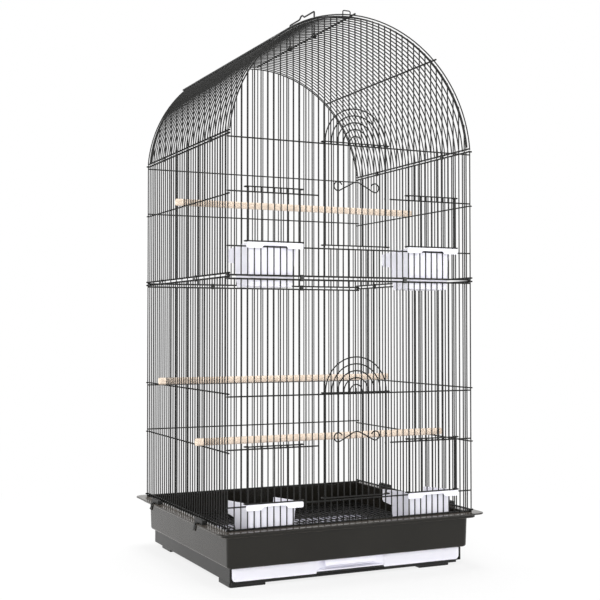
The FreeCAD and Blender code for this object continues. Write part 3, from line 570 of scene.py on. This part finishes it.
def end_wall(half, face, with_openings):
    """All wires and welds of one end wall. face is -1 for the door side and 1 for the rear.
    An upright runs from the wall's foot to its top, and is cut away over an opening."""
    low = wall_span[half][0]
    cup_z, feeder_z, door_z = levels[half]
    index = np.arange(front_gaps + 1)
    x, away = front_x(index), abs(index - front_gaps / 2)
    doorway = (away < 5) & with_openings
    feeder = (abs(away - 13) < 4) & with_openings
    opened = doorway | feeder
    over = np.where(doorway, door_z - cross_wire / 2,
                    np.where(feeder, feeder_z - cross_wire / 2, low))
    top = wall_top(x, half)
    y = face * wall_y
    cut = x[opened]
    shells = [round_wires(straight(x, y, [over, top]), wall_wire / 2, (0, 1, 0))]
    if with_openings:
        stub = [[low] * len(cut), [cup_z + cross_wire / 2] * len(cut)]
        shells.append(round_wires(straight(cut, y, stub), wall_wire / 2, (0, 1, 0)))
    full = [cup_z, door_z] if with_openings else [feeder_z, door_z]
    ends = [[-wall_reach] * len(full), [wall_reach] * len(full)]
    shells.append(round_wires(straight(ends, face * cross_y, full), cross_wire / 2, (0, 0, 1)))
    bead_y = face * (wall_y - wall_wire / 2)
    shells.append(weld_beads(x[:, None], bead_y, np.array(full)[None], cross_bead))
    if with_openings:
        halves = [[-wall_reach, feeder_inner_end], [-feeder_inner_end, wall_reach]]
        shells.append(round_wires(straight(halves, face * cross_y, feeder_z), cross_wire / 2,
                                  (0, 0, 1)))
        shells.append(weld_beads(x[~doorway], bead_y, feeder_z, cross_bead))
    bars = rails[half]
    shells.append(round_wires(straight([[-wall_reach] * len(bars), [wall_reach] * len(bars)],
                                       face * rail_y, bars), rail_wire / 2, (0, 0, 1), 10))
    shells.append(weld_beads(x[:, None], bead_y, np.array(bars)[None], cross_bead))
    if half == "upper":
        gable = arc((0, arch_centre), arch_radius, arch_foot, 180 - arch_foot, 64)
        path = np.column_stack([gable[:, 0], np.full(len(gable), face * cross_y), gable[:, 1]])
        shells.append(round_wires([path], cross_wire / 2, (0, 1, 0)))
        shells.append(weld_beads(x, bead_y, top, cross_bead))
    return shells


for half in ("lower", "upper"):
    for name, face, with_openings in (("front", -1, True), ("back", 1, False)):
        wall = joined_piece(half + "_" + name + "_wirework", end_wall(half, face, with_openings),
                            coated_wire)
        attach(wall, "cage")
        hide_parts(half + "_" + name + "_panel")

# Side walls. Their level wires run inside the uprights, and each end is bent outwards round a
# corner post of the end walls, which is what holds the four walls together.
side_x = 230.0
side_levels = {"lower": (217.0, 310.5), "upper": (630.5,)}
side_rails = {"lower": (97.5, 497.5), "upper": (503.5, 727.0)}
side_span = {"lower": (93.0, 499.0), "upper": (502.0, 728.5)}
hook_plans = {cross_wire: (232.3, 227.7, 209.3), rail_wire: (232.6, 227.4, 209.6)}
side_bead = (0.7, 1.5, 1.5)
bend_steps = 5


def softened(corners, reach):
    """Bends of a wire made round: each inner corner c of the path gives way to the parabola
    (1 - s)^2 a + 2 s (1 - s) c + s^2 b, from a on one side to b on the other, both a reach
    away from the corner."""
    corners = np.asarray(corners, float)
    into = corners[1:-1] - corners[:-2]
    out = corners[2:] - corners[1:-1]
    a = corners[1:-1] - reach * into / np.linalg.norm(into, axis=1, keepdims=True)
    b = corners[1:-1] + reach * out / np.linalg.norm(out, axis=1, keepdims=True)
    s = np.linspace(0, 1, bend_steps)[None, :, None]
    curve = (1 - s) ** 2 * a[:, None] + 2 * s * (1 - s) * corners[1:-1, None] + s ** 2 * b[:, None]
    return np.concatenate([corners[:1], curve.reshape(-1, 3), corners[-1:]])


def hooked_wire(side, height, width):
    """A level wire of a side wall, with both its ends bent outwards round the corner posts."""
    tip_x, run_x, far_y = hook_plans[width]
    path = softened([(side * tip_x, -far_y, height), (side * run_x, -far_y, height),
                     (side * run_x, far_y, height), (side * tip_x, far_y, height)], 2.2)
    return round_wires([path], width / 2, (0, 0, 1), 10)


for half in ("lower", "upper"):
    for name, side in (("left", -1), ("right", 1)):
        y = side_y(np.arange(1, side_gaps))
        low, high = side_span[half]
        shells = [round_wires(straight(side * side_x, y, [[low] * len(y), [high] * len(y)]),
                              wall_wire / 2, (1, 0, 0))]
        shells += [hooked_wire(side, z, cross_wire) for z in side_levels[half]]
        shells += [hooked_wire(side, z, rail_wire) for z in side_rails[half]]
        heights = np.array(side_levels[half] + side_rails[half])
        shells.append(weld_beads(side * (side_x - wall_wire / 2), y[:, None], heights[None],
                                 side_bead))
        wall = joined_piece(half + "_" + name + "_wirework", shells, coated_wire)
        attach(wall, "cage")
        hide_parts(half + "_" + name + "_panel")

# Barrel roof. One hoop of 2.2 mm wire stands over each pair of side uprights; two eave rails,
# two shoulder rods and a ridge rod, all of 3.0 mm wire, are welded along them.
hoop_radius, hoop_foot = 231.1, 4.716
eave_x, eave_z, eave_reach = 227.4, 732.0, 208.1
ridge_z = 945.2
shoulder_lean, shoulder_distance, shoulder_reach = 42.64, 233.7, 211.1
hoop_y = side_y(np.arange(side_gaps + 1))

bow = arc((0, arch_centre), hoop_radius, hoop_foot, 180 - hoop_foot, 56)
hoop_paths = np.stack(np.broadcast_arrays(bow[None, :, 0], hoop_y[:, None], bow[None, :, 1]),
                      axis=2)
hoops = joined_piece("roof_hoop_wires", [round_wires(hoop_paths, wall_wire / 2, (0, 1, 0))],
                     coated_wire)
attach(hoops, "cage")
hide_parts("roof_hoops")

lean = np.radians(np.array([-shoulder_lean, shoulder_lean]))
shoulder_x = shoulder_distance * np.sin(lean)
shoulder_z = arch_centre + shoulder_distance * np.cos(lean)
bead_out = hoop_radius + wall_wire / 2
rod_shells = [
    round_wires(straight([[-eave_x, eave_x]] * 2, [[-eave_reach] * 2, [eave_reach] * 2], eave_z),
                rail_wire / 2, (0, 0, 1), 10),
    round_wires(straight([shoulder_x] * 2, [[-shoulder_reach] * 2, [shoulder_reach] * 2],
                         [shoulder_z] * 2), rail_wire / 2, (0, 0, 1), 10),
    round_wires(straight([[0], [0]], [[-eave_reach], [eave_reach]], ridge_z), rail_wire / 2,
                (0, 0, 1), 10),
    weld_beads(0, hoop_y, arch_centre + bead_out, (1.5, 1.4, 0.7)),
    weld_beads(bead_out * np.sin(lean)[:, None], hoop_y[None],
               (arch_centre + bead_out * np.cos(lean))[:, None], (1.2, 1.4, 1.2)),
    weld_beads(np.array([-1, 1])[:, None] * (side_x - wall_wire / 2 - 0.2), hoop_y[None], eave_z,
               (0.8, 1.4, 1.5)),
]
rods = joined_piece("roof_rod_wires", rod_shells, coated_wire)
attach(rods, "cage")
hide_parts("roof_rods")

# Staple beside the ridge at the door end: a small loop of 2.0 mm wire, welded to the first hoop.
staple = softened([(-22, -204.9, 939.0), (-22, -204.9, 949.2), (-8, -204.9, 949.2),
                   (-8, -204.9, 939.0)], 3.0)
loop = joined_piece("ridge_staple", [round_wires([staple], 1.0, (0, 1, 0))], coated_wire)
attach(loop, "cage")
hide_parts("roof_loop")

# Sunburst doors. Five nested arches of 2.2 mm wire and a middle wire are welded behind two level
# bars, whose hooked ends slide on the uprights; a curled wire is welded across the front.
door_wire = 2.2
slide_y, bar_y, hook_y = -209.6, -211.8, -204.4
door_levels = {"lower": (136.0, 308.6), "upper": (552.5, 724.6)}
door_radii = bar_pitch * np.arange(1, 6)
scroll_tops = {"lower": 243.0, "upper": 659.5}
crest_radius, curl_radius = 15.0, 7.5
curl_x, curl_drop = 35.0, 8.0
fall_angle = 27.77
door_bead = (1.4, 0.8, 1.4)


def hooked_bar(centre_x, reach, tip, height):
    """A level door bar whose ends go back beside the openings and hook behind the uprights."""
    path = [(centre_x - tip, hook_y, height), (centre_x - reach, hook_y, height),
            (centre_x - reach, bar_y, height), (centre_x + reach, bar_y, height),
            (centre_x + reach, hook_y, height), (centre_x + tip, hook_y, height)]
    return round_wires([softened(path, 2.4)], door_wire / 2, (0, 0, 1))


def sunburst_door(low, top):
    """Arches at the point + radius x (cos turn, sin turn) over half a turn, on upright legs."""
    foot, centre = low - door_wire / 2, top + door_wire / 2
    turn = np.radians(np.linspace(0, 180, 33))
    x = door_radii[:, None] * np.cos(turn)
    z = centre + door_radii[:, None] * np.sin(turn)
    x = np.concatenate([x[:, :1], x, x[:, -1:]], axis=1)
    z = np.pad(z, ((0, 0), (1, 1)), constant_values=foot)
    arches = np.stack([x, np.full_like(x, slide_y), z], axis=2)
    legs = np.concatenate([-door_radii, [0], door_radii])
    return [round_wires(arches, door_wire / 2, (0, 1, 0)),
            round_wires(straight([[0], [0]], slide_y, [[foot], [centre + bar_pitch / 2]]),
                        door_wire / 2, (0, 1, 0)),
            hooked_bar(0, 63.25, 56.75, low), hooked_bar(0, 63.25, 56.75, top),
            weld_beads(legs[:, None], (slide_y + bar_y) / 2, np.array([low, top])[None],
                       door_bead)]


def scroll_path(top):
    """The ornament's line: a crest circle, its common tangent with the curl circle, and the
    curl, on the right, and the same mirrored on the left."""
    crest = arc((0, top - crest_radius), crest_radius, 90, 90 - fall_angle, 6)
    curl = arc((curl_x, top - curl_drop), curl_radius, 270 - fall_angle, 520, 22)
    right = np.concatenate([crest, curl])
    left = right[:0:-1] * (-1, 1)
    flat = np.concatenate([left, right])
    return np.column_stack([flat[:, 0], np.full(len(flat), bar_y), flat[:, 1]])


for half in ("lower", "upper"):
    door = joined_piece(half + "_sunburst_door", sunburst_door(*door_levels[half]), coated_wire)
    scroll = joined_piece(half + "_curled_ornament",
                          [round_wires([scroll_path(scroll_tops[half])], door_wire / 2,
                                       (0, 1, 0))], coated_wire)
    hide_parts(half + "_main_door")
    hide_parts(half + "_door_scroll")
    for part in (door, scroll):
        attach(part, half + "_sliding_door")

# Feeding cups. White polystyrene pots that hang from the level wire below each feeder gap: a
# bridge passes over the wire to a lip outside, which is cut up in the middle for a fingertip. On
# the bird's side the pot steps out to a shelf, between two wings that rise over a low back rim.
cup_x = 149.5
cup_tops = {"lower": 133.8, "upper": 553.7}
cup_floors = {"lower": 65.8, "upper": 482.3}
bridge_lows = {"lower": 132.0, "upper": 548.5}
cup_near, cup_foot_far, cup_waist, cup_far = -202.5, -139.5, -135.0, -107.5
cup_half = 43.4
cup_wall = 1.8
foot_taper, shelf_taper = 5.0, 2.0
shelf_drop, shelf_lean = 28.3, 2.3
wing_fall, back_fall = 6.3, 23.5
bridge_near, bridge_far = -211.6, -200.7
lip_near, lip_far = -212.9, -211.1
lip_half, lip_corner = 48.0, 2.5
lip_drop, finger_rise = 9.6, 4.4
finger_top, finger_foot = 19.0, 24.0


def cup_shells(centre_x, top, floor, bridge_low):
    """A drafted pot with a shelf, a bridge and a lip. The rim falls evenly along each wing to
    wing_fall, and at the wing's end it steps down to back_fall."""
    shelf = top - shelf_drop
    fall = np.zeros(4 * (corner_steps + 1))
    fall[:2 * (corner_steps + 1)] = back_fall
    fall[[0, 2 * corner_steps + 1]] = wing_fall
    stages = ((floor, 0, 1.0, foot_taper, cup_foot_far), (floor + 1.2, 0, 0, foot_taper,
                                                          cup_foot_far),
              (shelf - shelf_lean, 0, 0, shelf_taper, cup_waist),
              (shelf, 0, 0, shelf_taper, cup_far - 0.6),
              (shelf + 0.8, 0, 0, shelf_taper, cup_far),
              (top - 0.6, 1, 0, 0, cup_far), (top, 1, 0.6, 0, cup_far),
              (top, 1, cup_wall - 0.6, 0, cup_far), (top - 0.6, 1, cup_wall, 0, cup_far),
              (shelf + cup_wall, 0, cup_wall, shelf_taper, cup_far),
              (shelf + cup_wall - shelf_lean, 0, cup_wall, shelf_taper, cup_waist),
              (floor + cup_wall + 1.2, 0, cup_wall, foot_taper, cup_foot_far),
              (floor + cup_wall, 0, cup_wall + 1.2, foot_taper, cup_foot_far))
    rings = []
    for height, at_rim, shrink, taper, far in stages:
        near, far = cup_near + taper + shrink, far - shrink
        ring = level_outline(cup_half - taper - shrink, (far - near) / 2, 4.5 - shrink / 2,
                             height, (centre_x, (near + far) / 2))
        ring[:, 2] -= at_rim * fall
        rings.append(ring)
    bridge = slab([(centre_x + side * cup_half, y) for side, y in
                   ((-1, bridge_near), (1, bridge_near), (1, bridge_far), (-1, bridge_far))],
                  bridge_low, top, edge=0.4)
    high, low = top - lip_corner, top - lip_drop + lip_corner
    lip = np.concatenate([
        arc((lip_half, high), lip_corner, 0, 90, 4), arc((-lip_half, high), lip_corner, 90, 180, 4),
        arc((-lip_half, low), lip_corner, 180, 270, 4),
        [(-finger_foot, top - lip_drop), (-finger_top, top - finger_rise),
         (finger_top, top - finger_rise), (finger_foot, top - lip_drop)],
        arc((lip_half, low), lip_corner, 270, 360, 4)])
    return [lofted(rings), bridge,
            slab(lip + (centre_x, 0), lip_near, lip_far, axis="y", edge=0.4)]


for half in ("lower", "upper"):
    for name, side in (("left", -1), ("right", 1)):
        cup = joined_piece(half + "_" + name + "_feeding_cup",
                           cup_shells(side * cup_x, cup_tops[half], cup_floors[half],
                                      bridge_lows[half]), white_polystyrene)
        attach(cup, half + "_" + name + "_feeder")
        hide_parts(half + "_" + name + "_cup")

# Feeder gates. Nine short uprights on two hooked bars, standing on the lip of each cup.
gate_levels = {"lower": (135.2, 226.0), "upper": (555.1, 642.5)}
gate_offsets = bar_pitch * np.arange(-4, 5)

for half in ("lower", "upper"):
    low, top = gate_levels[half]
    for name, side in (("left", -1), ("right", 1)):
        x = side * cup_x + gate_offsets
        shells = [round_wires(straight(x, slide_y, [[low - door_wire / 2] * 9,
                                                    [top + door_wire / 2] * 9]),
                              door_wire / 2, (0, 1, 0)),
                  hooked_bar(side * cup_x, 51.75, 45.25, low),
                  hooked_bar(side * cup_x, 51.75, 45.25, top),
                  weld_beads(x[:, None], (slide_y + bar_y) / 2, np.array([low, top])[None],
                             door_bead)]
        gate = joined_piece(half + "_" + name + "_feeder_gate", shells, coated_wire)
        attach(gate, half + "_" + name + "_gate")
        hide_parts(half + "_" + name + "_feeder_door")

# Clasps. Four black mouldings hinged on pins under the edge of the flange: a short bar lies on
# the flange beside the wires, and a tab goes from it round the edge to a rolled knuckle.
clasp_half = 18.0
tab_half = 2.6
knuckle_outer, knuckle_bore = 2.0, 1.25
clasp_black = ("#121211", "#1a1a19")

# The clasps are moulded in a duller plastic than the tub, so they look dark grey and matt.
clasp_polypropylene = drifting_skin("matt_moulded_black_polypropylene", clasp_black, 30.0, 0.6,
                                    0.5, 0.3, **moulded)
grip_outline = ((237.0, 93.4), (245.0, 93.4), (245.0, 99.4), (244.0, 100.4), (238.6, 100.4),
                (237.0, 98.0))
tab_outline = np.concatenate([
    [(244.4, 93.5), (244.4, 95.0)], arc((250.4, 93.4), 1.6, 90, 0, 5),
    arc(clasp_axis, knuckle_outer, 60, -200, 20), arc(clasp_axis, knuckle_bore, -200, 60, 20),
    [(250.5, 87.5), (250.4, 93.5)]])
for name, side in (("left", -1), ("right", 1)):
    for end, spot in (("front", -clasp_place), ("back", clasp_place)):
        shells = [slab(np.array(grip_outline) * (side, 1), spot - clasp_half, spot + clasp_half,
                       axis="y", edge=0.5),
                  slab(tab_outline * (side, 1), spot - tab_half, spot + tab_half, axis="y",
                       edge=0.15)]
        clasp = joined_piece(name + "_" + end + "_flange_clasp", shells, clasp_polypropylene)
        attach(clasp, name + "_" + end + "_clasp")
        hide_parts(name + "_" + end + "_latch")

# Perches. Three turned dowels of pale wood, half an inch thick, whose slotted ends straddle an
# upright of each side wall and rest on a level wire.
perch_radius, perch_sides = 6.25, 28
perch_reach, perch_slot, slot_half = 241.0, 15.0, 1.5
perches = {
    "upper_dowel_perch": ("upper_perch", 11.5, 637.95),
    "lower_rear_dowel_perch": ("lower_rear_perch", 103.5, 317.95),
    "lower_front_dowel_perch": ("lower_front_perch", -92.0, 224.45),
}
wood_shades = ("#e4cdb5", "#f0e2d3", "#d1b292")
ring_spacing = 1.7
pith_offset = (0, 0.011, 0.019)


def dowel_wood(name, centre_y, centre_z):
    """Turned softwood: growth rings about a pith outside the dowel, so that they run along it
    as long streaks, with fine darker fibre and a dry, slightly fuzzy surface."""
    finish, tree, place = bare_material(name)
    pith = add_node(tree, "ShaderNodeMapping",
                    {"Vector": place.outputs["Object"],
                     "Location": (0, pith_offset[1] - centre_y / 1000,
                                  pith_offset[2] - centre_z / 1000),
                     "Scale": (0.06, 1, 1)})
    rings = add_node(tree, "ShaderNodeTexWave",
                     {"Vector": pith.outputs[0], "Scale": 314.0 / ring_spacing,
                      "Distortion": 2.2, "Detail": 3.0, "Detail Scale": 1.2},
                     wave_type="RINGS", rings_direction="X", wave_profile="SAW")
    along = add_node(tree, "ShaderNodeMapping", {"Vector": place.outputs["Object"],
                                                 "Scale": (12, 900, 900)})
    fibre = add_node(tree, "ShaderNodeTexNoise", {"Vector": along.outputs[0], "Scale": 1.0,
                                                  "Detail": 4.0, "Roughness": 0.6})
    early = add_node(tree, "ShaderNodeMix", {0: rings.outputs["Fac"], 6: linear(wood_shades[1]),
                                             7: linear(wood_shades[0])}, data_type="RGBA")
    streak = add_node(tree, "ShaderNodeMapRange", {"Value": fibre.outputs[0], "From Min": 0.55,
                                                   "From Max": 0.85, "To Max": 0.45})
    shade = add_node(tree, "ShaderNodeMix", {0: streak.outputs[0], 6: early.outputs[2],
                                             7: linear(wood_shades[2])}, data_type="RGBA")
    relief = add_node(tree, "ShaderNodeBump", {"Strength": 0.35, "Distance": 0.0002,
                                               "Height": fibre.outputs[0]})
    surface = add_node(tree, "ShaderNodeBsdfPrincipled",
                       {"Base Color": shade.outputs[2], "Roughness": 0.62, "IOR": 1.45,
                        "Normal": relief.outputs[0]})
    add_node(tree, "ShaderNodeOutputMaterial", {"Surface": surface.outputs[0]})
    return finish


split = math.degrees(math.asin(slot_half / perch_radius))
body = perch_reach - perch_slot
turn = np.linspace(0, 2 * np.pi, perch_sides, endpoint=False)
for name, (node, y, z) in perches.items():
    shells = [lofted([np.column_stack([np.full(perch_sides, x), y + perch_radius * np.cos(turn),
                                       z + perch_radius * np.sin(turn)])
                      for x in (-body, body)])]
    prong = arc((0, 0), perch_radius, -90 + split, 90 - split, 12)
    for side in (-1, 1):
        for half_turn in (-1, 1):
            low, high = sorted((side * (body - 0.5), side * perch_reach))
            shells.append(slab(prong * (half_turn, 1) + (y, z), low, high, axis="x", edge=0.5))
    dowel = joined_piece(name, shells, dowel_wood("turned_pale_dowel_wood", y, z))
    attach(dowel, "cage")
    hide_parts(node)

# Carrying handle. A bail of 3.0 mm wire with a small kink in the middle of its grip; each leg
# ends in an eye curled round the ridge rod.
handle_wire = 3.0
leg_y, crown_z = 51.75, 990.2
eye_radius = 3.4
grip = softened([(0, -leg_y, ridge_z + eye_radius), (0, -leg_y, crown_z), (0, -10, crown_z),
                 (0, -3.5, crown_z + 5), (0, 3.5, crown_z + 5), (0, 10, crown_z),
                 (0, leg_y, crown_z), (0, leg_y, ridge_z + eye_radius)], 2.4)
handle_shells = [round_wires([grip], handle_wire / 2, (1, 0, 0), 12)]
turn = np.linspace(0, 2 * np.pi, 24, endpoint=False)
ring_turn = np.linspace(0, 2 * np.pi, 10, endpoint=False)
for y in (-leg_y, leg_y):
    reach = eye_radius + handle_wire / 2 * np.cos(ring_turn)[None]
    eye = np.stack(np.broadcast_arrays(reach * np.sin(turn)[:, None],
                                       y + handle_wire / 2 * np.sin(ring_turn)[None],
                                       ridge_z + reach * np.cos(turn)[:, None]), axis=2)
    handle_shells.append(lofted(eye, capped=False))
handle = joined_piece("wire_carrying_handle", handle_shells, coated_wire)
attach(handle, "handle")
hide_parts("carry_handle")

# Joint clips. Short strips of steel folded round two parallel rails, with their ends meeting on
# the inside, which hold the upper walls on the lower ones and the roof on the walls.
clip_half, clip_pocket, clip_sheet = 3.0, 1.6, 0.8
clip_gap = 14.0
clip_black = ("#1a1a19", "#2a2a28")

# The clips' coat is a little greyer than the wires', so that they show as small dark bands.
clip_coat = drifting_skin("folded_powder_coated_steel_strip", clip_black, 10.0, 1.2, 0.4, 0.5,
                          **powdered)


def clip_outline(first, second):
    """Two parallel rails wrapped in strip: a half circle over the upper, another under the
    lower, both outside and inside, open on the inner side by the gap between the ends."""
    outer, inner = clip_pocket + clip_sheet, clip_pocket
    return np.concatenate([
        arc((0, second), outer, 180 - clip_gap, 0, 10), arc((0, first), outer, 0, -180, 10),
        [(-outer, second - 0.8), (-inner, second - 0.8)],
        arc((0, first), inner, -180, 0, 10), arc((0, second), inner, 0, 180 - clip_gap, 10)])


joint_x, wall_joint = 97.75, (494.5, 500.5)
joint_y, side_joint = (("front", -51.75), ("back", 132.25)), (497.5, 503.5)
eave_y, eave_joint = (("front", -120.75), ("back", 120.75)), (727.0, 732.0)
sides = (("left", -1), ("right", 1))


def folded_clip(name, along, middle, across, heights):
    """The outline, with its open side inwards, carried across the width of the strip."""
    outline = clip_outline(*heights) * (math.copysign(1, across), 1) + (across, 0)
    return joined_piece(name, [slab(outline, middle - clip_half, middle + clip_half, axis=along,
                                    edge=0.15)], clip_coat)


clip_places = [(wall + "_" + name, "x", side * joint_x, face * rail_y, wall_joint)
               for wall, face in (("front", -1), ("back", 1)) for name, side in sides]
clip_places += [(name + "_" + end, "y", y, side * eave_x, side_joint)
                for name, side in sides for end, y in joint_y]
for name, along, middle, across, heights in clip_places:
    clip = folded_clip(name + "_folded_clip", along, middle, across, heights)
    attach(clip, "cage")
    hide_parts(name + "_joint_clip")
for name, side in sides:
    for end, y in eave_y:
        clip = folded_clip(name + "_" + end + "_eave_folded_clip", "y", y, side * eave_x,
                           eave_joint)
        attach(clip, "cage")
        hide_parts(name + "_" + end + "_eave_clip")
